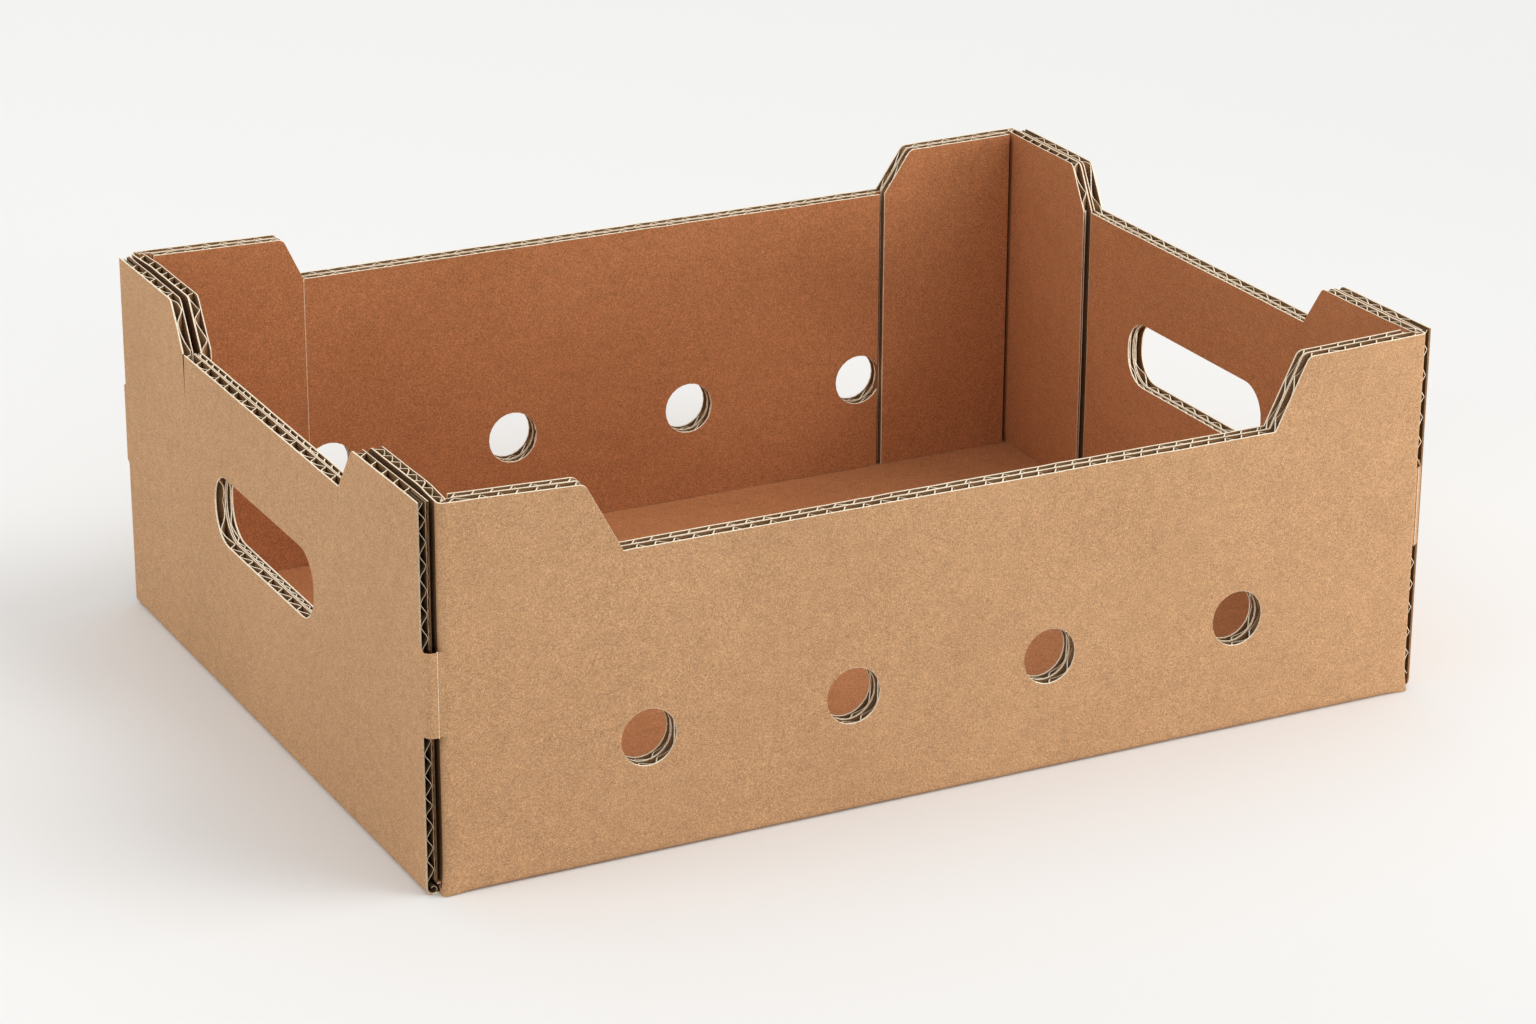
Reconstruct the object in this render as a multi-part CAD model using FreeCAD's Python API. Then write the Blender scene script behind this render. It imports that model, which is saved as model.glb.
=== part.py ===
import FreeCAD, Part
import math
import os

# Open display tray of corrugated board, in millimetres.
# The origin is the middle of the footprint on the ground: X runs along the long sides, Z is up.

# Footprint and heights
length = 400.0
width = 300.0
corner_height = 142.0
front_rim_height = 114.0
back_rim_height = 124.0
end_rim_height = 124.0

# Boards: the outer folded sheet, the linings along the long sides, the linings of the ends
sheet = 4.5
side_lining_board = 4.0
end_lining_board = 2.9

# Raised corners, measured from the tray's ends and sides; two of them are cut differently
side_shoulder = 58.0
side_foot = 70.0
back_left_shoulder = 65.0
back_left_foot = 73.0
end_shoulder = 61.0
end_foot = 73.0
right_back_shoulder = 57.0
right_back_foot = 67.0
shoulder_round = 3.0

# Vertical corner folds: each long side turns inwards behind the end wall as a flap
end_setback = 4.3
left_flap_gap = 2.4
right_flap_gap = 0.6
left_fold_round = 5.0
right_fold_round = 4.7
pad_gap = 1.2

# Bridges: the end wall runs on round each corner and meets the long side at a cut line
bridge_bottom = 59.0
bridge_top = 89.5
bridge_round = 3.0
bridge_cut = 0.4
bridge_cut_depth = 1.0

# Bottom folds and the small notches in their corners
bottom_round = 2.5
corner_notch = 5.0

# Vent holes in the long sides, hand slots in the ends
vent_diameter = 21.0
vent_height = 44.0
vent_pitch = 79.0
vents_per_side = 4
slot_length = 98.0
slot_depth = 26.5
slot_height = 75.0
slot_round = 12.0

# Seams between the linings and the corner pads; the back right corner has sprung open
seam = 0.4
open_seam = 2.4

# Tear under the shoulder at the back of the left end
tear_width = 1.2
tear_length = 14.0

# Flutes seen in the cut edges
flute_pitch = 8.0
flute_lean = 0.9
zigzag_pitch = 9.0
paper = 0.6
flute_wall = 0.5
flute_deep = 4.0
backing_groove = 0.7

half_length = length / 2
half_width = width / 2
end_edge = half_width - end_setback
side_inside = half_width - sheet
side_lining_inside = side_inside - side_lining_board
end_inside = half_length - sheet
end_lining_inside = end_inside - end_lining_board
over = 20.0


def flap_face(end):
    """Distance from the middle to a flap's outer face; end is -1 on the left, 1 on the right."""
    gap = left_flap_gap if end < 0 else right_flap_gap
    return half_length - sheet - gap


def flap_inside(end):
    return flap_face(end) - sheet


def fold_round(end):
    return left_fold_round if end < 0 else right_fold_round


def fold_start(end):
    """Distance from the middle to where a long side starts to turn into its flap."""
    return flap_face(end) - fold_round(end)


def point_at(along, across, axis):
    """A point of an upright outline: along the wall and up, at zero depth."""
    if axis == "x":
        return FreeCAD.Vector(along, 0, across)
    if axis == "y":
        return FreeCAD.Vector(0, along, across)
    return FreeCAD.Vector(along, across, 0)


def outline(corners, axis):
    """A flat face from (along, across, radius) corners, each rounded by its radius."""
    count = len(corners)
    edges = []
    ends = []
    for index in range(count):
        here = point_at(corners[index][0], corners[index][1], axis)
        before = point_at(corners[index - 1][0], corners[index - 1][1], axis)
        after = point_at(corners[(index + 1) % count][0], corners[(index + 1) % count][1], axis)
        radius = corners[index][2]
        if radius == 0:
            ends.append((here, here))
            continue
        back = (before - here).normalize()
        forward = (after - here).normalize()
        half_turn = back.getAngle(forward) / 2
        reach = radius / math.tan(half_turn)
        middle_way = (back + forward).normalize()
        middle = here + middle_way * (radius / math.sin(half_turn) - radius)
        ends.append((here + back * reach, here + forward * reach))
        edges.append(Part.Arc(ends[-1][0], middle, ends[-1][1]).toShape())
    for index in range(count):
        start = ends[index - 1][1]
        stop = ends[index][0]
        if start.distanceToPoint(stop) > 1e-6:
            edges.append(Part.LineSegment(start, stop).toShape())
    return Part.Face(Part.Wire(Part.__sortEdges__(edges)))


def block(x_low, x_high, y_low, y_high, z_low, z_high):
    corner = FreeCAD.Vector(x_low, y_low, z_low)
    return Part.makeBox(x_high - x_low, y_high - y_low, z_high - z_low, corner)


def copies(shape, flip_x=True, flip_y=True):
    """The shape and its mirror images in the tray's two middle planes."""
    shapes = [shape]
    origin = FreeCAD.Vector(0, 0, 0)
    if flip_x:
        shapes += [item.mirror(origin, FreeCAD.Vector(1, 0, 0)) for item in shapes]
    if flip_y:
        shapes += [item.mirror(origin, FreeCAD.Vector(0, 1, 0)) for item in shapes]
    return shapes


def side_corner(side, end):
    """Shoulder and foot of a long side's raised corner, measured from the middle."""
    if side > 0 and end < 0:
        return half_length - back_left_shoulder, half_length - back_left_foot
    return half_length - side_shoulder, half_length - side_foot


def end_corner(end, side):
    """Shoulder and foot of an end wall's raised corner, measured from the middle."""
    if end > 0 and side > 0:
        return half_width - right_back_shoulder, half_width - right_back_foot
    return half_width - end_shoulder, half_width - end_foot


def rim_height(side):
    return front_rim_height if side < 0 else back_rim_height


def notch(low_corner, high_corner, rim, axis, reach):
    """The space above a rim, between two raised corners, from the middle plane outwards."""
    top = corner_height + over
    low_shoulder, low_foot = low_corner
    high_shoulder, high_foot = high_corner
    corners = [
        (-low_shoulder - over, top, 0),
        (-low_shoulder - over, corner_height, 0),
        (-low_shoulder, corner_height, shoulder_round),
        (-low_foot, rim, 0),
        (high_foot, rim, 0),
        (high_shoulder, corner_height, shoulder_round),
        (high_shoulder + over, corner_height, 0),
        (high_shoulder + over, top, 0),
    ]
    face = outline(corners, axis)
    if axis == "x":
        return face.extrude(FreeCAD.Vector(0, reach, 0))
    return face.extrude(FreeCAD.Vector(reach, 0, 0))


def side_notch(side):
    return notch(side_corner(side, -1), side_corner(side, 1), rim_height(side),
                 "x", side * (half_width + over))


def end_notch(end):
    return notch(end_corner(end, -1), end_corner(end, 1), end_rim_height,
                 "y", end * (half_length + over))


def side_edge_height(side):
    """Height of a long side's top edge, as a function of the distance along it."""
    def height_at(along):
        shoulder, foot = side_corner(side, -1 if along < 0 else 1)
        return edge_height(abs(along), foot, shoulder, rim_height(side))
    return height_at


def end_edge_height(end):
    def height_at(along):
        shoulder, foot = end_corner(end, -1 if along < 0 else 1)
        return edge_height(abs(along), foot, shoulder, end_rim_height)
    return height_at


def edge_height(away, foot, shoulder, rim):
    share = (away - foot) / (shoulder - foot)
    share = min(max(share, 0.0), 1.0)
    return rim + share * (corner_height - rim)


def leaning_cells(start, stop, low, high):
    """Gaps between the leaning walls of a flute, as lists of (along, depth) corners."""
    count = max(1, round((stop - start) / flute_pitch))
    pitch = (stop - start) / count
    near = low + paper
    far = high - paper
    lean = flute_lean * (far - near)
    gap = pitch - flute_wall
    cells = []
    for index in range(count):
        left = start + index * pitch + flute_wall / 2
        right = left + gap
        cells.append([(left, near), (right - lean, near), (right, far), (left + lean, far)])
    return cells


def zigzag_cells(start, stop, low, high):
    """Triangles between the zigzag of a flute and its two papers, as (along, depth) corners."""
    waves = max(1, round((stop - start) / zigzag_pitch))
    half_wave = (stop - start) / waves / 2
    near = low + paper
    far = high - paper
    side = flute_wall / 2 / math.sin(math.atan2(far - near, half_wave))
    tip = (far - near) * side / half_wave
    cells = []
    for index in range(2 * waves - 1):
        left = start + index * half_wave + side
        right = start + (index + 2) * half_wave - side
        middle = (left + right) / 2
        if index % 2 == 0:
            cells.append([(left, near), (right, near), (middle, far - tip)])
        else:
            cells.append([(left, far), (right, far), (middle, near + tip)])
    return cells


def upright_cells(cells, axis, height_at):
    """Flute cells opening upwards in an edge whose height changes along the wall."""
    solids = []
    for cell in cells:
        lowest = min(height_at(corner[0]) for corner in cell)
        highest = max(height_at(corner[0]) for corner in cell)
        corners = [FreeCAD.Vector(a, d, 0) if axis == "x" else FreeCAD.Vector(d, a, 0)
                   for a, d in cell]
        bottom = lowest - flute_deep
        face = Part.Face(Part.makePolygon(corners + corners[:1]))
        face.translate(FreeCAD.Vector(0, 0, bottom))
        solids.append(face.extrude(FreeCAD.Vector(0, 0, highest + 1 - bottom)))
    return solids


def side_sheet_flutes(side):
    """Flutes in the top edge of a long side's outer board."""
    low = min(side * half_width, side * side_inside)
    cells = leaning_cells(-fold_start(-1), fold_start(1), low, low + sheet)
    return upright_cells(cells, "x", side_edge_height(side))


def end_sheet_flutes(end):
    """Flutes in the top edge of an end's outer board."""
    reach = end_edge - flute_deep
    low = min(end * half_length, end * end_inside)
    cells = leaning_cells(-reach, reach, low, low + sheet)
    return upright_cells(cells, "y", end_edge_height(end))


def flap_flutes(end, side):
    """Flutes in the top edge of one flap."""
    outer = side * (half_width - fold_round(end))
    inner = side * (end_corner(end, side)[1] + paper)
    low = min(end * flap_face(end), end * flap_inside(end))
    cells = leaning_cells(min(outer, inner), max(outer, inner), low, low + sheet)
    return upright_cells(cells, "y", end_edge_height(end))


def end_edge_flutes():
    """Flutes and the thin second layer in the end wall's upright edge, front left."""
    solids = []
    groove_face = half_length - sheet + paper
    groove_back = groove_face + backing_groove
    for bottom, top in ((corner_notch, bridge_bottom), (bridge_top, corner_height)):
        cells = zigzag_cells(bottom + paper, top - paper, -half_length, -groove_back)
        for cell in cells:
            corners = [FreeCAD.Vector(d, 0, a) for a, d in cell]
            face = Part.Face(Part.makePolygon(corners + corners[:1]))
            face.translate(FreeCAD.Vector(0, -end_edge - 1, 0))
            solids.append(face.extrude(FreeCAD.Vector(0, flute_deep + 1, 0)))
        solids.append(block(-groove_back, -groove_face, -end_edge - 1, -end_edge + flute_deep,
                            bottom + paper, top - paper))
    return solids


def slot_flutes(near, far):
    """Flutes in the lower edge of a hand slot, in the board between two depths."""
    reach = slot_length / 2 - slot_round
    floor = slot_height - slot_depth / 2
    solids = []
    for cell in leaning_cells(-reach, reach, near, far):
        corners = [FreeCAD.Vector(d, a, floor - flute_deep) for a, d in cell]
        face = Part.Face(Part.makePolygon(corners + corners[:1]))
        solids.append(face.extrude(FreeCAD.Vector(0, 0, flute_deep + 1)))
    return solids


def hand_slot():
    """The slot's shape right through the tray, from end to end."""
    half = slot_length / 2
    low = slot_height - slot_depth / 2
    high = slot_height + slot_depth / 2
    corners = [(-half, low, slot_round), (half, low, slot_round),
               (half, high, slot_round), (-half, high, slot_round)]
    face = outline(corners, "y")
    face.translate(FreeCAD.Vector(-half_length - over, 0, 0))
    return face.extrude(FreeCAD.Vector(length + 2 * over, 0, 0))


def vents():
    """The vent holes' cylinders right through the tray, from front to back."""
    first = -vent_pitch * (vents_per_side - 1) / 2
    start = -half_width - over
    holes = []
    for index in range(vents_per_side):
        base = FreeCAD.Vector(first + index * vent_pitch, start, vent_height)
        holes.append(Part.makeCylinder(vent_diameter / 2, width + 2 * over, base,
                                       FreeCAD.Vector(0, 1, 0)))
    return Part.makeCompound(holes)


def folded_ring():
    """Both long sides with their rounded corner folds, before the flaps are cut free."""
    outer = []
    inner = []
    for end, side in ((-1, -1), (1, -1), (1, 1), (-1, 1)):
        outer.append((end * flap_face(end), side * half_width, fold_round(end)))
        inner.append((end * flap_inside(end), side * side_inside, fold_round(end) - sheet))
    ring = outline(outer, "z").cut(outline(inner, "z"))
    ring = ring.extrude(FreeCAD.Vector(0, 0, corner_height))
    for end in (-1, 1):
        x_low = min(0, end * half_length)
        window = block(x_low, x_low + half_length, -end_corner(end, -1)[1], end_corner(end, 1)[1],
                       sheet, corner_height + over)
        ring = ring.cut(window)
    return ring


def bridge(end):
    """The end wall's bridge round its front corner, with its cut line."""
    back = -end_edge + sheet
    corners = [(end * half_length, -half_width, bridge_round),
               (end * fold_start(end), -half_width, 0),
               (end * fold_start(end), -side_inside, 0),
               (end * end_inside, -side_inside, 0),
               (end * end_inside, back, 0),
               (end * half_length, back, 0)]
    solid = outline(corners, "z").extrude(FreeCAD.Vector(0, 0, bridge_top - bridge_bottom))
    solid.translate(FreeCAD.Vector(0, 0, bridge_bottom))
    cut_start = min(end * end_inside, end * (end_inside - bridge_cut))
    cut_line = block(cut_start, cut_start + bridge_cut, -half_width - 1,
                     -half_width + bridge_cut_depth, bridge_bottom - 1, bridge_top + 1)
    return solid.cut(cut_line)


def notched_corner(end):
    """The small notch through the bottom folds at the front corner of one end."""
    x_low = min(end * (half_length + 1), end * flap_face(end))
    x_high = max(end * (half_length + 1), end * flap_face(end))
    return block(x_low, x_high, -half_width - 1, -end_edge, -1, corner_notch)


def shoulder_tear():
    """A narrow tapering tear in the left end wall, down from the foot of its back shoulder."""
    foot = half_width - end_foot
    corners = [(foot - tear_width / 2, end_rim_height + 1, 0),
               (foot + tear_width / 2, end_rim_height + 1, 0),
               (foot, end_rim_height - tear_length, 0)]
    face = outline(corners, "y")
    face.translate(FreeCAD.Vector(-half_length - 1, 0, 0))
    return face.extrude(FreeCAD.Vector(sheet + 1, 0, 0))


def rounded_envelope():
    """The tray's full block with its four bottom folds rounded."""
    solid = block(-half_length, half_length, -half_width, half_width, 0, corner_height)
    bottom_edges = [edge for edge in solid.Edges if edge.BoundBox.ZMax < 1e-6]
    return solid.makeFillet(bottom_round, bottom_edges)


def outer_tray():
    """Base, long sides, flaps, end walls and bridges: one folded sheet."""
    base = block(-half_length, half_length, -half_width, half_width, 0, sheet)
    end_wall = block(-half_length, -end_inside, -end_edge, end_edge, 0, corner_height)
    walls = [folded_ring()] + copies(end_wall, flip_y=False)
    gaps = [hand_slot(), vents(), shoulder_tear()]
    cells = copies(Part.makeCompound(end_edge_flutes()))
    cells += copies(Part.makeCompound(slot_flutes(-half_length, -end_inside)), flip_y=False)
    for side in (-1, 1):
        gaps.append(side_notch(side))
        cells += side_sheet_flutes(side)
    for end in (-1, 1):
        walls += copies(bridge(end), flip_x=False)
        gaps += copies(notched_corner(end), flip_x=False) + [end_notch(end)]
        cells += end_sheet_flutes(end) + flap_flutes(end, -1) + flap_flutes(end, 1)
    tray = base.fuse(walls).common(rounded_envelope())
    return tray.cut(gaps).cut(cells).removeSplitter()


def side_lining(side, left_seam, right_seam):
    """Lining of a long side between the raised corners; side is -1 in front, 1 at the back."""
    start = -side_corner(side, -1)[1] + left_seam
    stop = side_corner(side, 1)[1] - right_seam
    low = min(side * side_inside, side * side_lining_inside)
    high = low + side_lining_board
    board = block(start, stop, low, high, sheet, rim_height(side))
    flutes = upright_cells(leaning_cells(start, stop, low, high), "x", side_edge_height(side))
    return board.cut(vents()).cut(flutes)


def corner_pad(side, end):
    """Pad behind a raised corner of a long side; end is -1 on the left, 1 on the right."""
    foot = side_corner(side, end)[1]
    near = flap_inside(end) - pad_gap
    x_low = min(end * near, end * foot)
    x_high = max(end * near, end * foot)
    y_low = min(side * side_inside, side * side_lining_inside)
    y_high = y_low + side_lining_board
    board = block(x_low, x_high, y_low, y_high, sheet, corner_height).cut(side_notch(side))
    cells = leaning_cells(x_low, x_high, y_low, y_high)
    return board.cut(upright_cells(cells, "x", side_edge_height(side)))


def end_lining(end, front_seam, back_seam):
    """Lining of an end wall between its flaps, with the hand slot through it."""
    start = -end_corner(end, -1)[1] + front_seam
    stop = end_corner(end, 1)[1] - back_seam
    low = min(end * end_inside, end * end_lining_inside)
    high = low + end_lining_board
    board = block(low, high, start, stop, sheet, end_rim_height)
    flutes = upright_cells(leaning_cells(start, stop, low, high), "y", end_edge_height(end))
    return board.cut(hand_slot()).cut(flutes + slot_flutes(low, high))


def main():
    os.makedirs("parts", exist_ok=True)
    nodes = {
        "outer_tray": outer_tray(),
        "front_lining": side_lining(-1, seam, seam),
        "back_lining": side_lining(1, seam, open_seam),
        "left_lining": end_lining(-1, seam, seam),
        "right_lining": end_lining(1, seam, open_seam),
        "front_left_pad": corner_pad(-1, -1),
        "front_right_pad": corner_pad(-1, 1),
        "back_left_pad": corner_pad(1, -1),
        "back_right_pad": corner_pad(1, 1),
    }
    for name, shape in nodes.items():
        shape.exportStep("parts/" + name + ".step")
        print(name, len(shape.Solids), shape.isValid(), round(shape.Volume))


main()
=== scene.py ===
import math
import random

import bmesh
import bpy
from mathutils import Matrix, Vector, noise


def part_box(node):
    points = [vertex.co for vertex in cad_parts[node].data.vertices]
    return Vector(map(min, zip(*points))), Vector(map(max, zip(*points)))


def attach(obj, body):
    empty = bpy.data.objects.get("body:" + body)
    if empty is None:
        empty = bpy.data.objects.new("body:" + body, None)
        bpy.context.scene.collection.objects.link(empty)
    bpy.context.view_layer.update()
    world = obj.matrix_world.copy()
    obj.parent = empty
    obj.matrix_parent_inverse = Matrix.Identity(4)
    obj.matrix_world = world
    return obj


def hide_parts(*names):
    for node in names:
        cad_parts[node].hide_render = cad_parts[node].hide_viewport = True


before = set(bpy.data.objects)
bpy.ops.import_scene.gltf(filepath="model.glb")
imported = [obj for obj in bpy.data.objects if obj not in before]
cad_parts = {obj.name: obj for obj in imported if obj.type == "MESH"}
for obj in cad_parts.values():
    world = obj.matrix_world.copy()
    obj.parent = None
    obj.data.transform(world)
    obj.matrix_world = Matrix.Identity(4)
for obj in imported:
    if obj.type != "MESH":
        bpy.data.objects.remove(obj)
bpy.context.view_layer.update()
mm = 0.001
dice = random.Random(11)
print("frame loaded:", len(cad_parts), "boards")


def nodeBox(node):
    low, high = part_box(node)
    return low / mm, high / mm


# Sizes that the frame already holds, in mm
trayLow, trayHigh = nodeBox("outer_tray")
frontLow, frontHigh = nodeBox("front_lining")
backHigh = nodeBox("back_lining")[1]
endHigh = nodeBox("left_lining")[1]

tray = {
    "halfLength": trayHigh.x,
    "halfWidth": trayHigh.y,
    "cornerHeight": trayHigh.z,
    "sideRim": {-1: frontHigh.z, 1: backHigh.z},
    "endRim": endHigh.z,
    "board": frontLow.z,
    "shoulderRound": 3.0,
    "cornerFold": {-1: 5.0, 1: 4.7},      # outer radius of the upright folds at either end
    "flapFace": {-1: 193.1, 1: 194.9},    # outer face of the flaps behind either end wall
    "sharpFold": {-1: 2.4, 1: 1.9},       # outer radius that shows where the fold is pressed
    "bulge": {-1: 1.1, 1: 0.5},           # how far the pressed fold stands out from its flap
    "flare": {-1: 1.3, 1: 1.2},           # and how much further at its foot
    "bottomFold": 2.5,
    "endEdge": 145.7,            # where an end wall stops short of the long sides
    "bridgeBottom": 59.0,
    "bridgeTop": 89.5,
    "bridgeRound": {-1: 3.0, 1: 4.3},
    "bridgeInset": {-1: 0.0, 1: 1.5},
    "cutLine": 195.3,
    "crush": 2.7,                # how far the board is pressed in at its upright folds
    "crushWidth": 3.2,
    "foldEase": 9.0,             # the long side starts to turn in this far before its fold
    "bulgeLength": 16.0,         # the flap lies flat again this far past the fold
    "pressLength": 8.0,
    "footHeight": 11.0,          # up to here the folds flare out
    "fluteFoot": 12.0,           # the long sides' medium starts above the bottom fold
}

paper = {
    "liner": 0.64,
    "hiddenLiner": 0.42,         # the liners of two boards glued face to face
    "medium": 0.46,
    "pitchSpread": 0.5,
    "steepShare": 0.30,          # share of a wave taken by its steep wall
    "dip": 1.9,                  # how far the shallow wall sits below the cut
    "bevel": 0.12,
    "ripple": 0.12,
    "rippleLength": 38.0,
    "edgeWave": 0.16,
    "edgeWaveLength": 5.0,
    "columnStep": 9.0,
    "endGap": 0.4,               # the medium stops this far short of a sheet's end
}

pitches = {"side": 7.1, "endSheet": 9.4, "endLining": 6.5}
vent = {"radius": 10.5, "height": 44.0, "first": -118.5, "pitch": 79.0, "count": 4, "stops": 12}
slot = {"half": 49.0, "height": 75.0, "halfDepth": 13.25, "round": 12.0, "stops": 8}
tears = ({"at": 77.0, "halfWidth": 0.6, "depth": 14.0}, {"at": -77.0, "halfWidth": 0.12, "depth": 13.0})

# Finish slots. The very dark paper and the darkened cell paper are painted shade for the flutes' voids, the
# cells and the narrow gaps
outsideFace, insideFace, cutEdge, paintedShadePaper, fluteEdge, shadedCellPaper = range(6)


# Raised corners by (side, end): where the slope starts at the top, where it meets the rim, and
# how far the top has sunk at the slope
sideCorners = {(-1, -1): (141.5, 127.5, 2.0), (-1, 1): (144.5, 131.5, 1.4),
               (1, -1): (135.0, 127.0, 1.0), (1, 1): (142.0, 130.0, 0.8)}
endCorners = {(-1, -1): (89.0, 76.0, 0.6), (-1, 1): (89.0, 77.0, 0.0),
              (1, -1): (89.0, 77.0, 0.5), (1, 1): (93.0, 83.0, 0.3)}


# Outlines


def edgeHeight(away, corner, rim):
    shoulder, foot, sunk = corner
    top = tray["cornerHeight"]
    turn = math.atan2(top - rim, shoulder - foot)
    radius = tray["shoulderRound"]
    centre = shoulder + radius * math.tan(turn / 2)
    if away >= centre:
        height = top
    elif away > centre - radius * math.sin(turn):
        height = top - radius + math.sqrt(radius ** 2 - (away - centre) ** 2)
    else:
        height = rim + max((away - foot) / (shoulder - foot), 0.0) * (top - rim)
    sag = sunk * min(max(1 - (away - shoulder) / 50, 0.0), 1.0)
    return height - sag * (height - rim) / (top - rim)


def shoulderStops(corner, rim):
    shoulder, foot, sunk = corner
    turn = math.atan2(tray["cornerHeight"] - rim, shoulder - foot)
    radius = tray["shoulderRound"]
    centre = shoulder + radius * math.tan(turn / 2)
    return [foot] + [centre - radius * math.sin(turn * i / 4) for i in range(5)]


def endOf(s):
    return -1 if s < 0 else 1


def sideTop(side):
    rim = tray["sideRim"][side]
    return lambda x: edgeHeight(abs(x), sideCorners[side, endOf(x)], rim)


def endTop(end):
    rim = tray["endRim"]
    return lambda y: edgeHeight(abs(y), endCorners[end, endOf(y)], rim)


def tornEndTop(y):
    for tear in tears:
        away = abs(y - tear["at"]) / tear["halfWidth"]
        if away < 1:
            return tray["endRim"] - tear["depth"] * (1 - away)
    return endTop(-1)(y)


def ventHole(at):
    radius = vent["radius"]
    return {
        "at": at,
        "half": radius,
        "height": vent["height"],
        "stops": [at - radius * math.cos(math.pi * i / vent["stops"]) for i in range(vent["stops"] + 1)],
        "opening": lambda away: math.sqrt(max(radius ** 2 - away ** 2, 0.0)),
    }


def ventHoles():
    return [ventHole(vent["first"] + i * vent["pitch"]) for i in range(vent["count"])]


def slotOpening(away):
    into = abs(away) - (slot["half"] - slot["round"])
    if into <= 0:
        return slot["halfDepth"]
    if into > slot["round"] - 0.01:
        return 0.0
    return slot["halfDepth"] - slot["round"] + math.sqrt(slot["round"] ** 2 - into ** 2)


def slotHole():
    ends = [slot["half"] - slot["round"] * (1 - math.cos(math.pi / 2 * i / slot["stops"]))
            for i in range(slot["stops"] + 1)]
    return {
        "at": 0.0,
        "half": slot["half"],
        "height": slot["height"],
        "stops": [-s for s in ends] + ends,
        "opening": slotOpening,
    }


# Boards: place() turns (along, depth from the outer face, height) into a point of the tray


def foldUnder(depth, height, bent):
    radius = tray["bottomFold"]
    if height >= radius:
        return depth, height
    angle = (radius - height) / radius
    inner = radius - depth
    under = Vector((radius - inner * math.cos(angle), radius - inner * math.sin(angle)))
    straight = Vector((depth, radius - (radius - height) * (radius - 0.2) / (radius * math.pi / 2)))
    mixed = straight.lerp(under, bent)
    return mixed.x, mixed.y


def eased(share):
    share = min(max(share, 0.0), 1.0)
    return share * share * (3 - 2 * share)


def cornerOf(end):
    radius = tray["cornerFold"][end]
    return tray["flapFace"][end] - radius, radius, radius * math.pi / 2


def longSidePlace(side):
    def place(s, depth, height):
        away, end = abs(s), endOf(s)
        flat, radius, arc = cornerOf(end)
        depth, height = foldUnder(depth, height, eased((flat - away) / tray["foldEase"]))
        flare = max(1 - height / tray["footHeight"], 0.0) ** 2
        sharp = tray["sharpFold"][end] * (1 - 0.4 * flare)
        past = max(away - flat - arc, 0.0)
        face = tray["flapFace"][end] + tray["bulge"][end] * (1 - eased(past / tray["bulgeLength"]))
        face += tray["flare"][end] * flare
        if away <= flat:
            turned = eased((away - flat + tray["foldEase"]) / tray["foldEase"])
            x = away + turned * (face - sharp - flat)
            y = tray["halfWidth"] - depth
        elif past == 0:
            angle = (away - flat) / radius
            reach = sharp - depth
            x = face - sharp + reach * math.sin(angle)
            y = tray["halfWidth"] - sharp + reach * math.cos(angle)
        else:
            x = face - depth
            pressed = (radius - sharp) * min(past / tray["pressLength"], 1)
            y = tray["halfWidth"] - sharp - pressed - past
        return Vector((end * x, side * y, height))
    return place


def longSideTop(side):
    def top(s):
        end = endOf(s)
        flat, radius, arc = cornerOf(end)
        if abs(s) <= flat + arc:
            return sideTop(side)(s)
        away = tray["halfWidth"] - radius - (abs(s) - flat - arc)
        return edgeHeight(away, endCorners[end, side], tray["endRim"])
    return top


def endWallPlace(end):
    def place(s, depth, height):
        depth, height = foldUnder(depth, height, 1.0)
        return Vector((end * (tray["halfLength"] - depth), s, height))
    return place


def straightPlace(origin, inward, along):
    def place(s, depth, height):
        flat = origin + along * s + inward * depth
        return Vector((flat.x, flat.y, height))
    return place


def longSide(side):
    keys, flapEnds = [], {}
    for end in (-1, 1):
        flat, radius, arc = cornerOf(end)
        corner = endCorners[end, side]
        turned = flat + arc + tray["halfWidth"] - radius
        flapEnds[end] = turned - corner[1]
        half = [flat + arc * i / 8 for i in range(9)]
        half += shoulderStops(sideCorners[side, end], tray["sideRim"][side])
        half += [turned - y for y in shoulderStops(corner, tray["endRim"])]
        half += [flat - i * 1.5 for i in range(1, 7)] + [flat + arc + i for i in (0.8, 1.6, 4, 8, 12, 16)]
        keys += [end * s for s in half]
    return {
        "place": longSidePlace(side),
        "start": -flapEnds[-1],
        "stop": flapEnds[1],
        "board": tray["board"],
        "liners": (paper["liner"], paper["hiddenLiner"]),
        "pitch": pitches["side"],
        "keys": keys,
        "top": longSideTop(side),
        "holes": ventHoles(),
        "middle": vent["height"],
        "folds": True,
        "foldsUnder": True,
    }


def endWall(end):
    keys = [half * s for half in (-1, 1) for s in shoulderStops(endCorners[end, half], tray["endRim"])]
    top = endTop(end)
    if end < 0:
        keys += [tear["at"] + tear["halfWidth"] * i for tear in tears for i in (-1, 0, 1)]
        top = tornEndTop
    return {
        "place": endWallPlace(end),
        "start": -tray["endEdge"],
        "stop": tray["endEdge"],
        "board": tray["board"],
        "liners": (paper["liner"], paper["hiddenLiner"]),
        "pitch": pitches["endSheet"],
        "keys": keys,
        "top": top,
        "holes": [slotHole()],
        "middle": slot["height"],
        "folds": False,
        "foldsUnder": True,
    }


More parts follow.
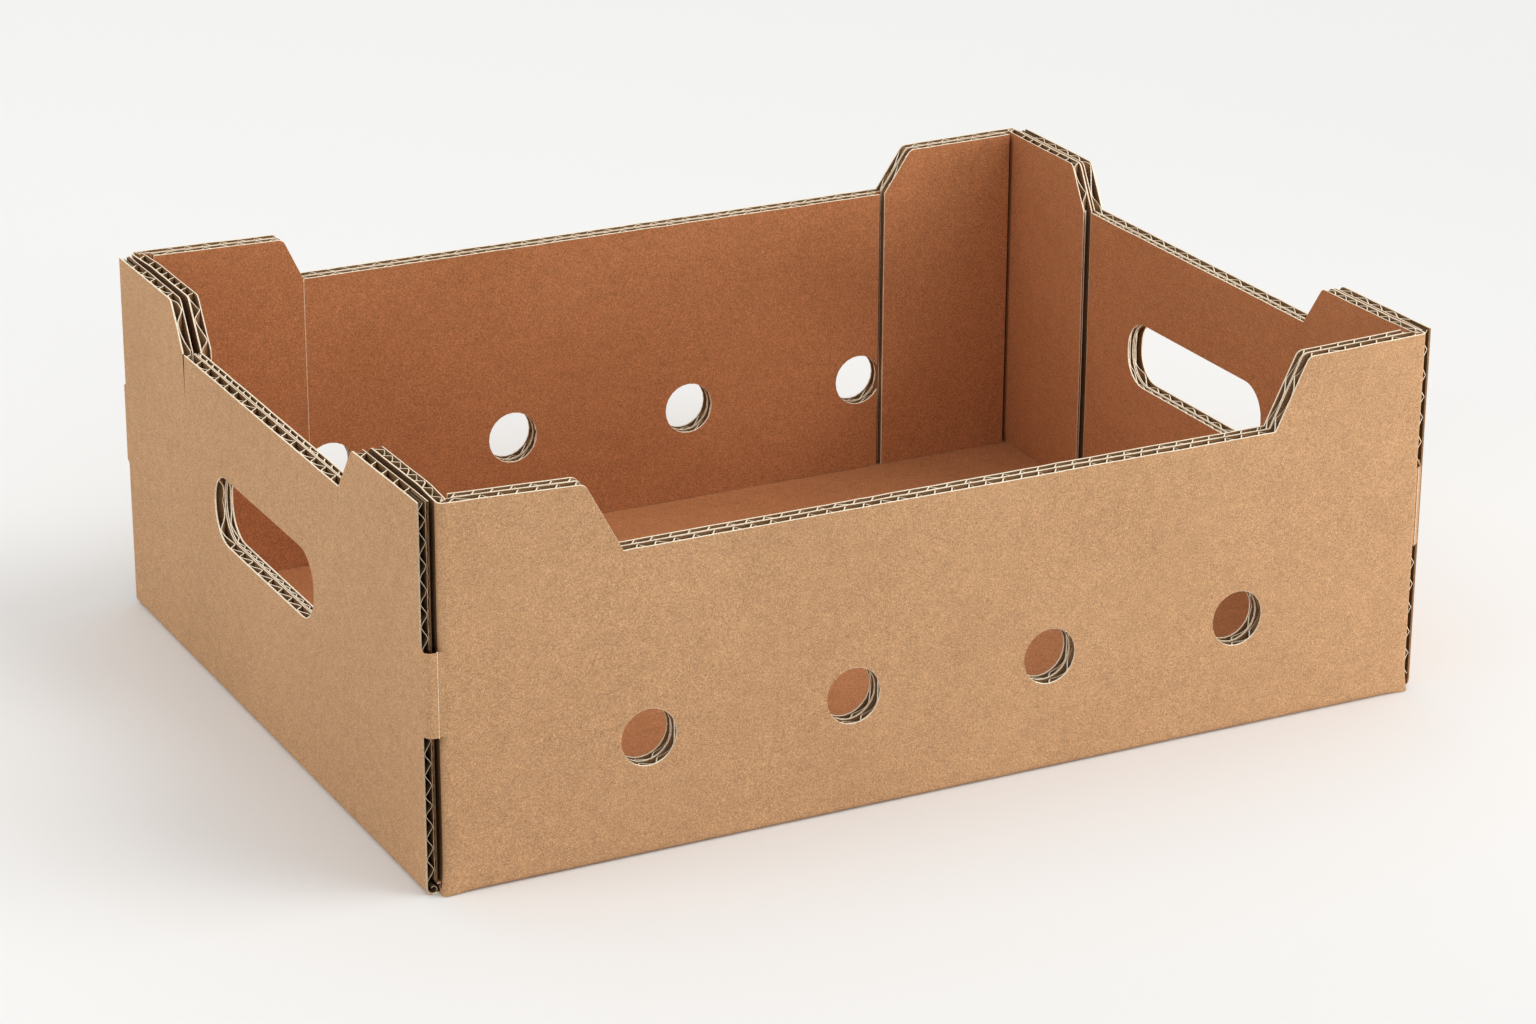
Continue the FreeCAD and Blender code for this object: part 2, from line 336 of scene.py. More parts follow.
def boardFromNode(node, inward, top, holes, middle, keys, pitch, closedSeam):
    low, high = nodeBox(node)
    if abs(inward.y) > 0:
        along = Vector((1, 0, 0))
        start, stop = low.x - closedSeam[0], high.x + closedSeam[1]
        face = low.y if inward.y > 0 else high.y
        origin = Vector((0, face, 0))
        board = high.y - low.y
    else:
        along = Vector((0, 1, 0))
        start, stop = low.y - closedSeam[0], high.y + closedSeam[1]
        face = low.x if inward.x > 0 else high.x
        origin = Vector((face, 0, 0))
        board = high.x - low.x
    return {
        "place": straightPlace(origin, inward, along),
        "start": start,
        "stop": stop,
        "board": board,
        "liners": (paper["hiddenLiner"], paper["liner"]),
        "pitch": pitch,
        "keys": keys,
        "top": top,
        "holes": holes,
        "middle": middle,
        "folds": False,
        "foldsUnder": False,
        "bottom": low.z,
    }


# Mesh code


def ripple(point):
    return paper["ripple"] * (1 + noise.noise(point / paper["rippleLength"]))


def holeAt(wall, s):
    for hole in wall["holes"]:
        if abs(s - hole["at"]) < hole["half"]:
            return hole["opening"](s - hole["at"]), hole["height"]
    return 0.0, wall["middle"]


def columnsOf(wall, step):
    stops = {wall["start"], wall["stop"]}
    stops.update(s for s in wall["keys"] if wall["start"] < s < wall["stop"])
    for hole in wall["holes"]:
        stops.update(s for s in hole["stops"] if wall["start"] < s < wall["stop"])
    stops = sorted(stops)
    stops = [a for a, b in zip(stops, stops[1:]) if b - a > 0.02] + [stops[-1]]
    columns = []
    for a, b in zip(stops, stops[1:]):
        parts = max(1, math.ceil((b - a) / step))
        columns += [a + (b - a) * i / parts for i in range(parts)]
    return columns + [stops[-1]]


def spread(low, high, parts):
    return [low + (high - low) * i / parts for i in range(parts + 1)]


def facesOutward(wall, s, height):
    place = wall["place"]
    here = place(s, 0.0, height)
    along = place(s + 0.1, 0.0, height) - here
    up = place(s, 0.0, height + 0.1) - here
    return along.cross(up).dot(here - place(s, 0.1, height)) > 0


def surfaceMesh(wall, columns, depthAt, lowAt, topAt, rows, outward, widen=0.0, foldRows=0):
    points, faces = [], []
    below, above = [], []

    def addPoints(s, heights):
        first = len(points)
        for height in heights:
            rough = wall["place"](s, 0.0, height)
            depth = depthAt(s, height) + ripple(rough)
            points.append(wall["place"](s, depth, height))
        return list(range(first, len(points)))

    for s in columns:
        opening, centre = holeAt(wall, s)
        low, top = lowAt(s), topAt(s)
        if opening > 0:
            opening += widen
        if foldRows:
            lower = spread(low, tray["bottomFold"], foldRows)[:-1]
            lower += spread(tray["bottomFold"], tray["footHeight"], foldRows)[:-1]
            lower += spread(tray["footHeight"], centre - opening, rows[0])
        else:
            lower = spread(low, centre - opening, rows[0])
        upper = spread(centre + opening, top, rows[1])
        below.append(addPoints(s, lower))
        if opening > 0:
            above.append(addPoints(s, upper))
        else:
            above.append(below[-1][-1:] + addPoints(s, upper[1:]))
    flip = facesOutward(wall, (columns[0] + columns[-1]) / 2, wall["middle"]) != outward
    for stack in (below, above):
        for left, right in zip(stack, stack[1:]):
            for i in range(len(left) - 1):
                face = [left[i], right[i], right[i + 1], left[i + 1]]
                face = [v for n, v in enumerate(face) if v != face[n - 1]]
                faces.append(face[::-1] if flip else face)
    return points, faces


def shapedMesh(points, faces, finish, thickness, offset, rim, far, bevelled):
    mesh = bpy.data.meshes.new("sheet")
    mesh.from_pydata([p * mm for p in points], [], faces)
    for material in finishes:
        mesh.materials.append(material)
    mesh.polygons.foreach_set("material_index", [finish] * len(mesh.polygons))
    holder = bpy.data.objects.new("holder", mesh)
    bpy.context.scene.collection.objects.link(holder)
    solid = holder.modifiers.new("thickness", "SOLIDIFY")
    solid.thickness = thickness * mm
    solid.offset = offset
    solid.use_even_offset = bevelled
    solid.material_offset = far - finish
    solid.material_offset_rim = rim - finish
    if bevelled:
        bevel = holder.modifiers.new("cut edge", "BEVEL")
        bevel.width = paper["bevel"] * mm
        bevel.segments = 1
        bevel.limit_method = "ANGLE"
        bevel.angle_limit = math.radians(50)
        bevel.use_clamp_overlap = False
        bevel.material = cutEdge
    graph = bpy.context.evaluated_depsgraph_get()
    made = bpy.data.meshes.new_from_object(holder.evaluated_get(graph))
    bpy.data.objects.remove(holder)
    return made


def retint(mesh, before, after, chosen):
    for face in mesh.polygons:
        if face.material_index == before and chosen(face.center / mm):
            face.material_index = after
    return mesh


def edgeWobble(s, seed):
    wave = noise.noise(Vector((s / paper["edgeWaveLength"], seed, 0.3)))
    return paper["edgeWave"] * (wave - 1)


def foldedDepth(wall, s, depth):
    if not wall["folds"]:
        return depth
    flat, radius, arc = cornerOf(endOf(s))
    near = (abs(s) - flat - arc / 2) / tray["crushWidth"]
    share = 1 - tray["crush"] / wall["board"] * math.exp(-near * near)
    return depth * share


def outerLiner(wall, finish, seed):
    columns = columnsOf(wall, paper["columnStep"])
    under = tray["bottomFold"] * (1 - math.pi / 2)
    low = (lambda s: under) if wall["foldsUnder"] else (lambda s: wall["bottom"])
    points, faces = surfaceMesh(
        wall, columns, lambda s, h: 0.0, low, lambda s: wall["top"](s) + edgeWobble(s, seed),
        (5, 10), True, foldRows=5 if wall["foldsUnder"] else 0)
    # The back face, inside the cells, takes the cell paper darkened as painted shade
    return shapedMesh(points, faces, finish, wall["liners"][0], -1, cutEdge, shadedCellPaper, True)


def innerLiner(wall, finish, seed):
    columns = columnsOf(wall, paper["columnStep"])
    low = tray["board"] - 0.6 if wall["foldsUnder"] else wall["bottom"]
    depth = wall["board"] - 2 * paper["ripple"]
    points, faces = surfaceMesh(
        wall, columns, lambda s, h: foldedDepth(wall, s, depth), lambda s: low,
        lambda s: wall["top"](s) + edgeWobble(s, seed), (6, 10), False)
    # The back face, inside the cells, takes the cell paper darkened as painted shade
    return shapedMesh(points, faces, finish, wall["liners"][1], -1, cutEdge, shadedCellPaper, not wall["folds"])


def wavePhases():
    steep = paper["steepShare"]
    rising = [(steep * i / 5, i / 5) for i in range(5)]
    falling = [(steep + (1 - steep) * i / 7, 1 - i / 7) for i in range(7)]
    return rising + falling


def roundedShare(share):
    return 0.45 * share + 0.55 * (0.5 - 0.5 * math.cos(math.pi * share))


def waveColumns(start, stop, meanPitch):
    waves = []
    s = start
    while s < stop:
        pitch = meanPitch + dice.uniform(-1, 1) * paper["pitchSpread"]
        deep = paper["dip"] * dice.uniform(0.12, 1.1)
        for phase, share in wavePhases():
            falling = max(phase - paper["steepShare"], 0) / (1 - paper["steepShare"])
            dip = 0.2 + deep * math.sin(math.pi * falling) ** 0.7
            if s + phase * pitch < stop:
                waves.append((s + phase * pitch, roundedShare(share), dip))
        s += pitch
    waves.append((stop, waves[-1][1], 0.3))
    return waves


def flutedMedium(wall, start, stop, bottom):
    waves = waveColumns(start, stop, wall["pitch"])
    across = {s: share for s, share, dip in waves}
    dips = {s: dip for s, share, dip in waves}
    near = wall["liners"][0] + paper["medium"] / 2
    far = wall["board"] - 2 * paper["ripple"] - wall["liners"][1] - paper["medium"] / 2

    def depthAt(s, height):
        return foldedDepth(wall, s, near + (far - near) * across[s])

    points, faces = surfaceMesh(
        wall, [s for s, share, dip in waves], depthAt, lambda s: bottom,
        lambda s: wall["top"](s) - dips[s] - paper["edgeWave"], (2, 3), True, widen=0.5)
    # The medium's walls take the cell paper, darkened as painted shade
    return shapedMesh(points, faces, shadedCellPaper, paper["medium"], 0, cutEdge, shadedCellPaper, False)


def joinMeshes(name, meshes, nodes):
    work = bmesh.new()
    for mesh in meshes:
        work.from_mesh(mesh)
    joined = bpy.data.meshes.new(name)
    work.to_mesh(joined)
    work.free()
    for material in finishes:
        joined.materials.append(material)
    joined.polygons.foreach_set("use_smooth", [True] * len(joined.polygons))
    joined.set_sharp_from_angle(angle=math.radians(32))
    piece = bpy.data.objects.new(name, joined)
    bpy.context.scene.collection.objects.link(piece)
    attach(piece, "root")
    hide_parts(*nodes)
    return piece


# Finishes


def node(tree, kind, **settings):
    made = tree.nodes.new(kind)
    for key, value in settings.items():
        if key in made.inputs:
            made.inputs[key].default_value = value
        else:
            setattr(made, key, value)
    return made


def noiseLayer(tree, coords, scale, detail, distortion=0.0, stretch=(1, 1, 1)):
    source = coords
    if stretch != (1, 1, 1):
        mapping = node(tree, "ShaderNodeMapping")
        mapping.inputs["Scale"].default_value = stretch
        tree.links.new(coords, mapping.inputs["Vector"])
        source = mapping.outputs["Vector"]
    made = node(tree, "ShaderNodeTexNoise")
    made.inputs["Scale"].default_value = scale
    made.inputs["Detail"].default_value = detail
    made.inputs["Distortion"].default_value = distortion
    tree.links.new(source, made.inputs["Vector"])
    return made.outputs["Fac"]


def levels(tree, value, low, high, darkest, lightest):
    made = node(tree, "ShaderNodeMapRange")
    made.inputs["From Min"].default_value = low
    made.inputs["From Max"].default_value = high
    made.inputs["To Min"].default_value = darkest
    made.inputs["To Max"].default_value = lightest
    tree.links.new(value, made.inputs["Value"])
    return made.outputs["Result"]


def multiply(tree, first, second):
    made = node(tree, "ShaderNodeMath", operation="MULTIPLY")
    tree.links.new(first, made.inputs[0])
    tree.links.new(second, made.inputs[1])
    return made.outputs["Value"]


def add(tree, first, second):
    made = node(tree, "ShaderNodeMath", operation="ADD")
    tree.links.new(first, made.inputs[0])
    tree.links.new(second, made.inputs[1])
    return made.outputs["Value"]


# Sizes of the paper's marks, as noise scales per metre
marks = {"clouds": 14, "blotches": 190, "fibres": 760, "grain": 2100, "strands": 420}


def kraftMaterial(look):
    material = bpy.data.materials.new(look["name"])
    material.use_nodes = True
    tree = material.node_tree
    shader = tree.nodes["Principled BSDF"]
    coords = node(tree, "ShaderNodeTexCoord").outputs["Object"]

    clouds = noiseLayer(tree, coords, marks["clouds"], 2)
    blotches = noiseLayer(tree, coords, marks["blotches"], 2, 0.6)
    fibres = noiseLayer(tree, coords, marks["fibres"], 2, 2.8)
    grain = noiseLayer(tree, coords, marks["grain"], 1)
    strands = noiseLayer(tree, coords, marks["strands"], 1, 1.2, (1, 1, 5))

    tones = node(tree, "ShaderNodeMix", data_type="RGBA")
    tree.links.new(levels(tree, clouds, 0.3, 0.7, 0, 1), tones.inputs["Factor"])
    for socket, colour in ((tones.inputs[6], look["dark"]), (tones.inputs[7], look["light"])):
        socket.default_value = (*colour, 1)

    amount = look["mottle"]
    shade = levels(tree, blotches, 0.3, 0.7, 1 - 0.25 * amount, 1 + 0.25 * amount)
    shade = multiply(tree, shade, levels(tree, fibres, 0.3, 0.7, 1 - 1.15 * amount, 1 + 1.15 * amount))
    shade = multiply(tree, shade, levels(tree, grain, 0.25, 0.75, 1 - 1.5 * amount, 1 + 1.5 * amount))
    shade = multiply(tree, shade, levels(tree, strands, 0.62, 0.74, 1, 1 - amount))
    tinted = node(tree, "ShaderNodeMix", data_type="RGBA", blend_type="MULTIPLY")
    tinted.inputs[0].default_value = 1
    tree.links.new(tones.outputs[2], tinted.inputs[6])
    tree.links.new(shade, tinted.inputs[7])
    tree.links.new(tinted.outputs[2], shader.inputs["Base Color"])

    relief = add(tree, multiply(tree, fibres, levels(tree, blotches, 0, 1, 0.6, 1.0)), grain)
    bump = node(tree, "ShaderNodeBump")
    bump.inputs["Strength"].default_value = look["bump"]
    bump.inputs["Distance"].default_value = look["bumpDepth"] * mm
    tree.links.new(relief, bump.inputs["Height"])
    tree.links.new(bump.outputs["Normal"], shader.inputs["Normal"])
    tree.links.new(levels(tree, fibres, 0.2, 0.8, look["rough"] + 0.06, look["rough"] - 0.06),
                   shader.inputs["Roughness"])
    shader.inputs["Specular IOR Level"].default_value = look["specular"]
    return material


kraftOutside = {"name": "kraft_outside", "dark": (0.486, 0.277, 0.140), "light": (0.524, 0.302, 0.155),
                "mottle": 0.19, "bump": 0.40, "bumpDepth": 0.12, "rough": 0.80, "specular": 0.22}
# Painted shade and bounce light: the inside kraft is the outside's paper made darker and redder, to stand
# in for the shade in the tray and the reddish light bounced inside it
kraftInsideShadeAndBounce = {"name": "kraft_inside_shade_and_bounce", "dark": (0.470, 0.195, 0.080), "light": (0.520, 0.225, 0.096),
               "mottle": 0.18, "bump": 0.34, "bumpDepth": 0.12, "rough": 0.84, "specular": 0.18}
paperCut = {"name": "paper_cut_edge", "dark": (0.93, 0.780, 0.580), "light": (0.98, 0.880, 0.700),
            "mottle": 0.12, "bump": 0.5, "bumpDepth": 0.15, "rough": 0.9, "specular": 0.15}
# Painted shade: a near-black brown standing in for the deep shade in the raw edges' voids, behind the
# bridges and in narrow gaps; the medium itself is lighter paper
paintedShadeLook = {"name": "painted_shade_paper", "dark": (0.120, 0.066, 0.030), "light": (0.180, 0.100, 0.050),
               "mottle": 0.16, "bump": 0.4, "bumpDepth": 0.15, "rough": 0.9, "specular": 0.10}
mediumCut = {"name": "fluting_cut_edge", "dark": (0.460, 0.350, 0.230), "light": (0.620, 0.490, 0.340),
             "mottle": 0.16, "bump": 0.4, "bumpDepth": 0.15, "rough": 0.9, "specular": 0.10}
# The medium's own brown, darkened as painted shade for the walls inside the board's cells
shadedCellSides = {"name": "cell_paper_painted_shade", "dark": (0.250, 0.135, 0.062), "light": (0.330, 0.185, 0.088),
             "mottle": 0.16, "bump": 0.4, "bumpDepth": 0.15, "rough": 0.9, "specular": 0.10}
looks = (kraftOutside, kraftInsideShadeAndBounce, paperCut, paintedShadeLook, mediumCut, shadedCellSides)
finishes = [kraftMaterial(look) for look in looks]
print("finishes made:", len(finishes))


# The folded outer sheet


def ribbon(end, side, profile, edge, reach, thickness, ragged, rim):
    points, faces = [], []
    for depth, height in profile:
        near = edge - dice.uniform(0.0, ragged)
        for away in (near, edge - reach):
            points.append(Vector((end * (tray["halfLength"] - depth), side * away, height)))
    for i in range(len(profile) - 1):
        faces.append([2 * i, 2 * i + 1, 2 * i + 3, 2 * i + 2])
    # The ribbon's walls take the very dark paper as painted shade for the voids in the raw edge
    return shapedMesh(points, faces, paintedShadePaper, thickness, 0, rim, paintedShadePaper, False)


def uprightEdgeFlutes(end, side, bottom, top):
    look = {"pitch": 7.9, "spread": 1.1, "near": 0.75, "far": 3.05, "reach": 12.0, "steps": 12,
            "thickness": 0.26, "ragged": 0.3}
    if end > 0:
        look.update({"pitch": 9.0, "near": 1.25, "far": 3.1})
    edge = tray["endEdge"]
    meshes = []
    wave = []
    z = bottom
    while z < top:
        pitch = look["pitch"] + dice.uniform(-1, 1) * look["spread"]
        for i in range(look["steps"]):
            share = i / look["steps"]
            height = z + pitch * share
            across = abs(math.sin(math.pi * share)) if end > 0 else roundedShare(1 - abs(2 * share - 1))
            if height < top:
                wave.append((look["near"] + (look["far"] - look["near"]) * across, height))
        z += pitch
    rim = fluteEdge if end < 0 else cutEdge
    meshes.append(ribbon(end, side, wave, edge, look["reach"], look["thickness"], look["ragged"], rim))
    straight = spread(bottom, top, max(2, int((top - bottom) / 5)))
    if end > 0:
        # Painted shade: the right end's outer band is drawn in the dark papers in place of the liner's own
        # brown
        band = [(0.72 + dice.uniform(-0.05, 0.05), h) for h in straight]
        meshes.append(ribbon(end, side, band, edge, look["reach"], 0.5, 0.2, shadedCellPaper))
        return meshes
    middle = [(3.3 + dice.uniform(-0.05, 0.08), h) for h in straight]
    meshes.append(ribbon(end, side, middle, edge, look["reach"], 0.16, look["ragged"], fluteEdge))
    fine = spread(bottom, top, max(4, int((top - bottom) / 7.5) * 8))
    backing = [(3.72 + 0.26 * math.sin(i * math.pi / 4), h) for i, h in enumerate(fine)]
    meshes.append(ribbon(end, side, backing, edge, look["reach"], 0.15, 0.6, insideFace))
    return meshes


def crumpledFoot(end, side):
    edge = tray["endEdge"]
    loop = [(0.5, 3.2), (0.7, 1.6), (1.6, 0.7), (3.0, 0.45), (4.0, 1.3), (3.8, 2.6), (2.8, 3.3), (1.9, 2.6)]
    scrap = [(4.3, 4.6), (5.1, 3.6), (4.7, 2.4), (5.5, 1.4), (5.2, 0.5)]
    return [ribbon(end, side, loop, edge + 0.2, 7.0, 0.26, 0.3, fluteEdge),
            ribbon(end, side, scrap, edge + 0.6, 6.0, 0.24, 0.3, insideFace)]


def bridgePlace(end, side):
    radius = tray["bridgeRound"][end]
    face = tray["halfLength"] - tray["bridgeInset"][end]
    straight = tray["halfWidth"] - radius - tray["endEdge"]
    arc = radius * math.pi / 2

    def place(s, depth, height):
        if s <= straight:
            x, y = face - depth, tray["endEdge"] + s
        elif s <= straight + arc:
            angle = (s - straight) / radius
            x = face - radius + (radius - depth) * math.cos(angle)
            y = tray["halfWidth"] - radius + (radius - depth) * math.sin(angle)
        else:
            x = face - radius - (s - straight - arc)
            y = tray["halfWidth"] - depth
        return Vector((end * x, side * y, height))
    return place


def windowFillet(s, stop, radius):
    total = 0.0
    for away, reach in ((s, radius), (stop - s, radius / 3)):
        if away < reach:
            total += reach - math.sqrt(reach ** 2 - (reach - away) ** 2)
    return total


def bridge(end, side):
    look = {"fillet": 1.5, "thickness": 0.7}
    radius = tray["bridgeRound"][end]
    face = tray["halfLength"] - tray["bridgeInset"][end]
    straight = tray["halfWidth"] - radius - tray["endEdge"]
    arc = radius * math.pi / 2
    stop = straight + arc + face - radius - (tray["cutLine"] + 0.1)
    turns = [straight + arc * i / 8 for i in range(9)]
    wall = {"place": bridgePlace(end, side), "start": -0.3, "stop": stop, "holes": [],
            "middle": (tray["bridgeBottom"] + tray["bridgeTop"]) / 2, "foldsUnder": False,
            "keys": turns + [0.2, 0.6, 1.1, stop - 0.2, stop - 0.6]}
    points, faces = surfaceMesh(
        wall, columnsOf(wall, 1.0), lambda s, h: 0.0,
        lambda s: tray["bridgeBottom"] - windowFillet(max(s, 0), stop, look["fillet"]),
        lambda s: tray["bridgeTop"] + windowFillet(max(s, 0), stop, look["fillet"]), (2, 2), True)
    # The bridge's back face takes the very dark paper as painted shade
    mesh = shapedMesh(points, faces, outsideFace, look["thickness"], -1, outsideFace, paintedShadePaper, True)
    retint(mesh, outsideFace, cutEdge, lambda c: abs(abs(c.x) - tray["cutLine"] - 0.15) < 0.12)
    return retint(mesh, cutEdge, outsideFace, lambda c: abs(c.x) > tray["cutLine"] + 0.3)


def bridgeTab(end, side):
    look = {"thickness": 0.8, "sink": 0.45}
    start = cornerOf(end)[0]
    stop = tray["cutLine"] - 0.1
    origin = Vector((0, side * tray["halfWidth"], 0))
    wall = {"place": straightPlace(origin, Vector((0, -side, 0)), Vector((end, 0, 0))),
            "start": start, "stop": stop, "holes": [], "keys": [stop - 0.3, stop - 0.8],
            "middle": (tray["bridgeBottom"] + tray["bridgeTop"]) / 2, "foldsUnder": False}
    points, faces = surfaceMesh(
        wall, columnsOf(wall, 1.2), lambda s, h: 0.05 + look["sink"] * ((s - start) / (stop - start)) ** 2,
        lambda s: tray["bridgeBottom"], lambda s: tray["bridgeTop"], (2, 2), True)
    # The tab's back face takes the very dark paper as painted shade
    return shapedMesh(points, faces, outsideFace, look["thickness"], -1, outsideFace, paintedShadePaper, False)


def basePlate(level, finish):
    if level == 0:
        halfX = tray["halfLength"] - tray["bottomFold"]
        halfY = tray["halfWidth"] - tray["bottomFold"]
        notches = tray["flapFace"]
    else:
        halfX = tray["halfLength"] - tray["board"] + 0.3
        halfY = tray["halfWidth"] - tray["board"] + 0.3
        notches = {-1: halfX, 1: halfX}

    def place(s, depth, height):
        z = depth if level == 0 else level - depth
        return Vector((s, height, z))

    def halfSpan(s):
        return halfY if abs(s) <= notches[endOf(s)] else tray["endEdge"]

    wall = {"place": place, "start": -halfX, "stop": halfX, "holes": [], "middle": 0.0,
            "keys": [end * notches[end] + step for end in (-1, 1) for step in (-0.05, 0.05)],
            "foldsUnder": False}
    points, faces = surfaceMesh(wall, columnsOf(wall, 12.0), lambda s, h: 0.0,
                                lambda s: -halfSpan(s), halfSpan, (12, 12), True)
    return shapedMesh(points, faces, finish, paper["liner"], -1, cutEdge, paintedShadePaper, False)


def sideMeshes(side):
    wall = longSide(side)
    outer = outerLiner(wall, outsideFace, 1.0 + side)
    inner = innerLiner(wall, insideFace, 4.0 + side)

    # Painted shade: where the flap shows between a left corner's fold and the end wall, its outer face
    # takes the very dark paper to stand in for the deep shade there
    def paintedShadeCornerGap(c):
        return c.x < -190 and abs(c.y) < tray["endEdge"] + 0.8

    retint(outer, outsideFace, paintedShadePaper, paintedShadeCornerGap)
    start, stop = wall["start"] + paper["endGap"], wall["stop"] - paper["endGap"]
    return [outer, inner, flutedMedium(wall, start, stop, tray["fluteFoot"])]


def makeOuterTray():
    foot, top = tray["board"] + 0.7, tray["cornerHeight"] - 0.4
    behind = 0.5    # the upright flutes reach this far behind a bridge
    meshes = [basePlate(0, outsideFace), basePlate(tray["board"], insideFace)]
    for side in (-1, 1):
        meshes += sideMeshes(side)
    for end in (-1, 1):
        meshes += endWallMeshes(end)
        for side in (-1, 1):
            meshes += uprightEdgeFlutes(end, side, foot, tray["bridgeBottom"] + behind)
            meshes += uprightEdgeFlutes(end, side, tray["bridgeTop"] - behind, top)
            meshes += crumpledFoot(end, side)
            meshes.append(bridge(end, side))
            meshes.append(bridgeTab(end, side))
    return joinMeshes("outerTray", meshes, ["outer_tray"])


def endWallMeshes(end):
    wall = endWall(end)
    outer = outerLiner(wall, outsideFace, 11.0 + end)
    inner = innerLiner(wall, insideFace, 14.0 + end)

    def atUprightEdge(c):
        return abs(c.y) > tray["endEdge"] - 0.6 and c.z < tray["cornerHeight"] - 0.8

    def atTear(c):
        return end < 0 and abs(c.y - tears[0]["at"]) < 1.0 and c.z < tray["endRim"] - 0.5

    # Painted shade: at the upright edges the inner liner's cut edge, and at the right end the outer liner's
    # cut edge too, take dark paper in place of cream; so does the outer cut edge in the tear
    retint(outer, cutEdge, fluteEdge if end < 0 else shadedCellPaper, atUprightEdge)
    retint(inner, cutEdge, paintedShadePaper, atUprightEdge)
    retint(outer, cutEdge, paintedShadePaper, atTear)
    return [outer, inner, flutedMedium(wall, wall["start"] + 12, wall["stop"] - 12, tray["board"])]


def makeLayeredBoard(name, cadNode, slotName, seed, closedSeam, **layout):
    wall = boardFromNode(cadNode, closedSeam=closedSeam, **layout)
    start, stop = wall["start"] + paper["endGap"], wall["stop"] - paper["endGap"]
    meshes = [
        outerLiner(wall, insideFace, seed),
        innerLiner(wall, insideFace, seed + 0.5),
        flutedMedium(wall, start, stop, wall["bottom"] + 0.2),
    ]
    return joinMeshes(name, meshes, [cadNode])


def makeLinings():
    shut = 0.36
    for side, word in ((-1, "front"), (1, "back")):
        inward = Vector((0, -side, 0))
        rim = tray["sideRim"][side]
        makeLayeredBoard(word + "Lining", word + "_lining", "side_lining", 21.0 + side,
                         (shut, shut if side < 0 else 0), inward=inward, top=lambda s: rim,
                         holes=ventHoles(), middle=vent["height"], keys=[], pitch=pitches["side"])
        for end, word2 in ((-1, "left"), (1, "right")):
            keys = [end * s for s in shoulderStops(sideCorners[side, end], rim)]
            makeLayeredBoard(word + word2.title() + "Pad", word + "_" + word2 + "_pad", "corner_pad",
                             31.0 + side + 0.3 * end, (0, 0), inward=inward, top=sideTop(side),
                             holes=[], middle=60.0, keys=keys, pitch=pitches["side"])
    for end, word in ((-1, "left"), (1, "right")):
        makeLayeredBoard(word + "Lining", word + "_lining", "end_lining", 41.0 + end,
                         (shut, shut if end < 0 else 0), inward=Vector((-end, 0, 0)),
                         top=lambda s: tray["endRim"], holes=[slotHole()], middle=slot["height"],
                         keys=[], pitch=pitches["endLining"])


makeOuterTray()
print("outer tray folded")
makeLinings()
print("linings and pads in place")


# Floor, light and camera


def makeFloor():
    look = {"size": 30.0, "colour": (0.87, 0.872, 0.868), "below": 0.05}
    bpy.ops.mesh.primitive_plane_add(size=look["size"], location=(0, 0, -look["below"] * mm))
    floor = bpy.context.object
    floor.name = "studioFloor"
    material = bpy.data.materials.new("floor_paper")
    material.use_nodes = True
    shader = material.node_tree.nodes["Principled BSDF"]
    shader.inputs["Base Color"].default_value = (*look["colour"], 1)
    shader.inputs["Roughness"].default_value = 0.9
    shader.inputs["Specular IOR Level"].default_value = 0.1
    floor.data.materials.append(material)


def makeLight(name, place, target, size, power, colour, beam):
    lamp = bpy.data.lights.new(name, "AREA")
    lamp.shape = "DISK"
    lamp.spread = math.radians(beam)
    lamp.size = size
    lamp.energy = power
    lamp.color = colour
    holder = bpy.data.objects.new(name, lamp)
    holder.location = place
    holder.rotation_mode = "QUATERNION"
    holder.rotation_quaternion = (Vector(target) - Vector(place)).to_track_quat("-Z", "Y")
    bpy.context.scene.collection.objects.link(holder)


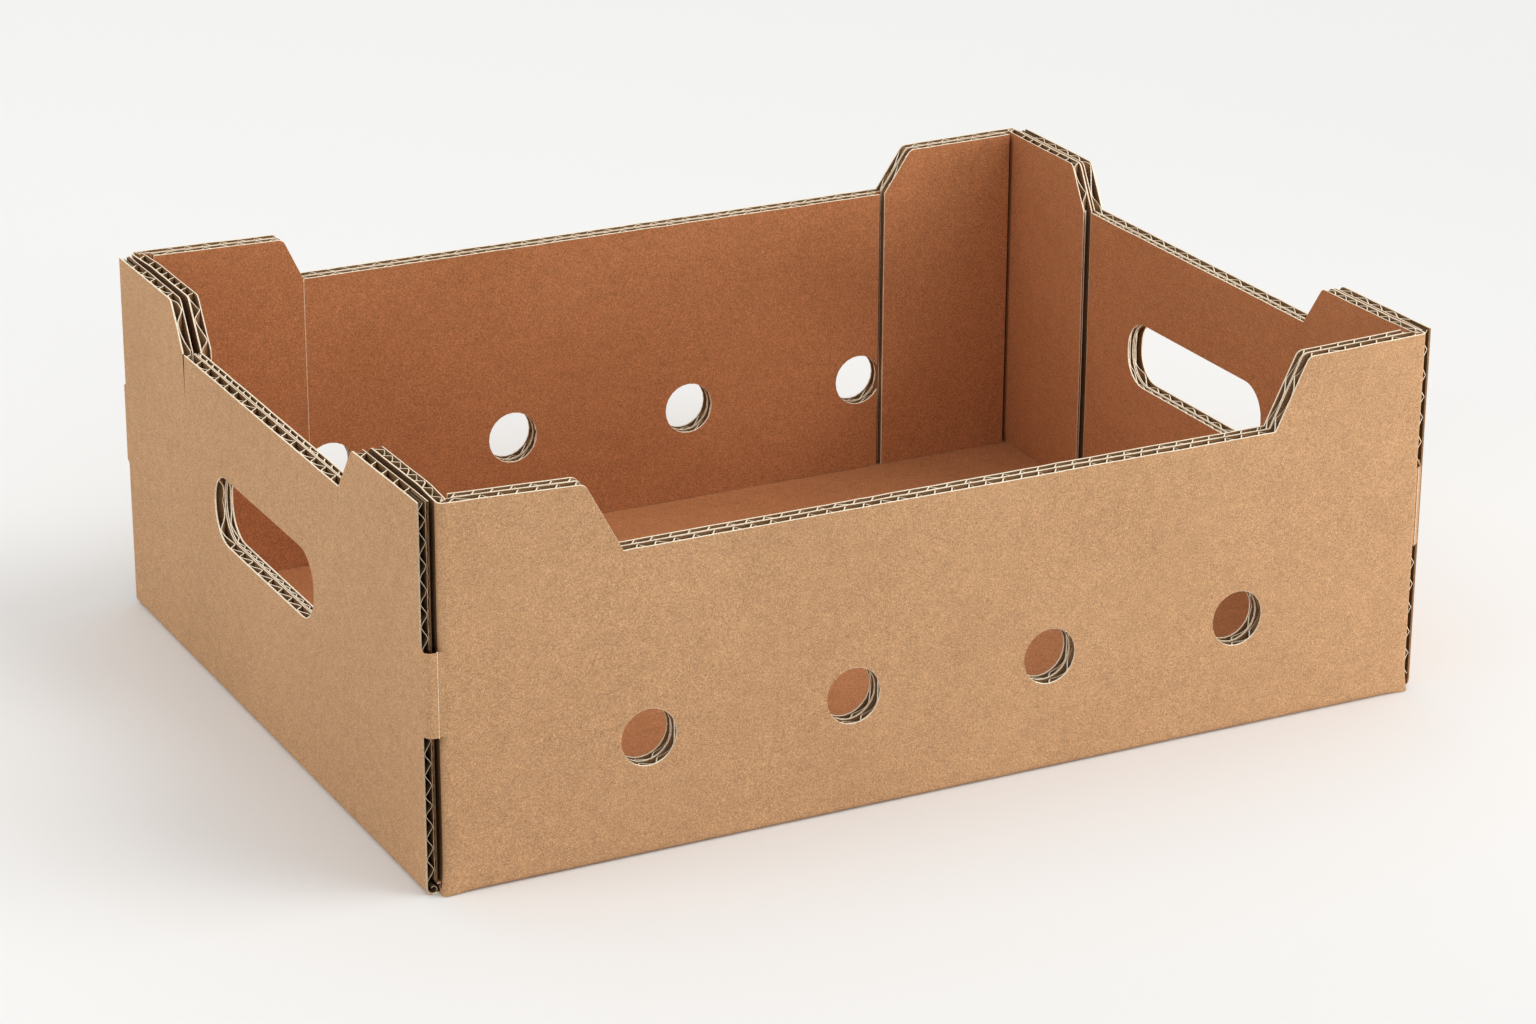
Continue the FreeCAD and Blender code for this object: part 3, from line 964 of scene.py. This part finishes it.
def makeLights():
    look = {"sky": 0.80, "skyColour": (1.0, 1.0, 0.995), "sun": 0.85, "sunColour": (1.0, 0.985, 0.96),
            "sunSpread": 38.0, "sunFrom": (0.75, -0.45, 1.0)}
    world = bpy.data.worlds.new("studio")
    world.use_nodes = True
    background = world.node_tree.nodes["Background"]
    background.inputs["Color"].default_value = (*look["skyColour"], 1)
    background.inputs["Strength"].default_value = look["sky"]
    bpy.context.scene.world = world
    lamp = bpy.data.lights.new("keySun", "SUN")
    lamp.energy = look["sun"]
    lamp.color = look["sunColour"]
    lamp.angle = math.radians(look["sunSpread"])
    holder = bpy.data.objects.new("keySun", lamp)
    holder.rotation_mode = "QUATERNION"
    holder.rotation_quaternion = Vector(look["sunFrom"]).to_track_quat("Z", "Y")
    bpy.context.scene.collection.objects.link(holder)
    makeLight("sideLight", (0.74, -0.66, 0.22), (0.29, -0.124, 0.19), 0.38, 0.62, (1.0, 0.985, 0.96), 76)
    makeLight("fillLight", (-1.4, 0.1, 0.7), (-0.1, 0.0, 0.08), 0.8, 2.9, (1.0, 0.985, 0.955), 180)


def makeCamera():
    look = {"azimuth": -27.215, "elevation": 21.114, "roll": 0.289, "distance": 1665.17,
            "right": 3.423, "up": 50.307, "focalPixels": 4333.8, "imageWidth": 1536, "sensor": 36.0}
    a, e, r = (math.radians(look[key]) for key in ("azimuth", "elevation", "roll"))
    back = Vector((math.sin(a) * math.cos(e), -math.cos(a) * math.cos(e), math.sin(e)))
    level = Vector((math.cos(a), math.sin(a), 0))
    upright = back.cross(level)
    right = level * math.cos(r) + upright * math.sin(r)
    up = upright * math.cos(r) - level * math.sin(r)
    data = bpy.data.cameras.new("camera")
    data.sensor_width = look["sensor"]
    data.lens = look["focalPixels"] / look["imageWidth"] * look["sensor"]
    camera = bpy.data.objects.new("camera", data)
    place = (back * look["distance"] + right * look["right"] + up * look["up"]) * mm
    turn = Matrix((right, up, back)).transposed().to_4x4()
    camera.matrix_world = Matrix.Translation(place) @ turn
    bpy.context.scene.collection.objects.link(camera)
    bpy.context.scene.camera = camera


makeFloor()
makeLights()
makeCamera()
bpy.context.scene.view_settings.view_transform = "Standard"
print("studio ready")
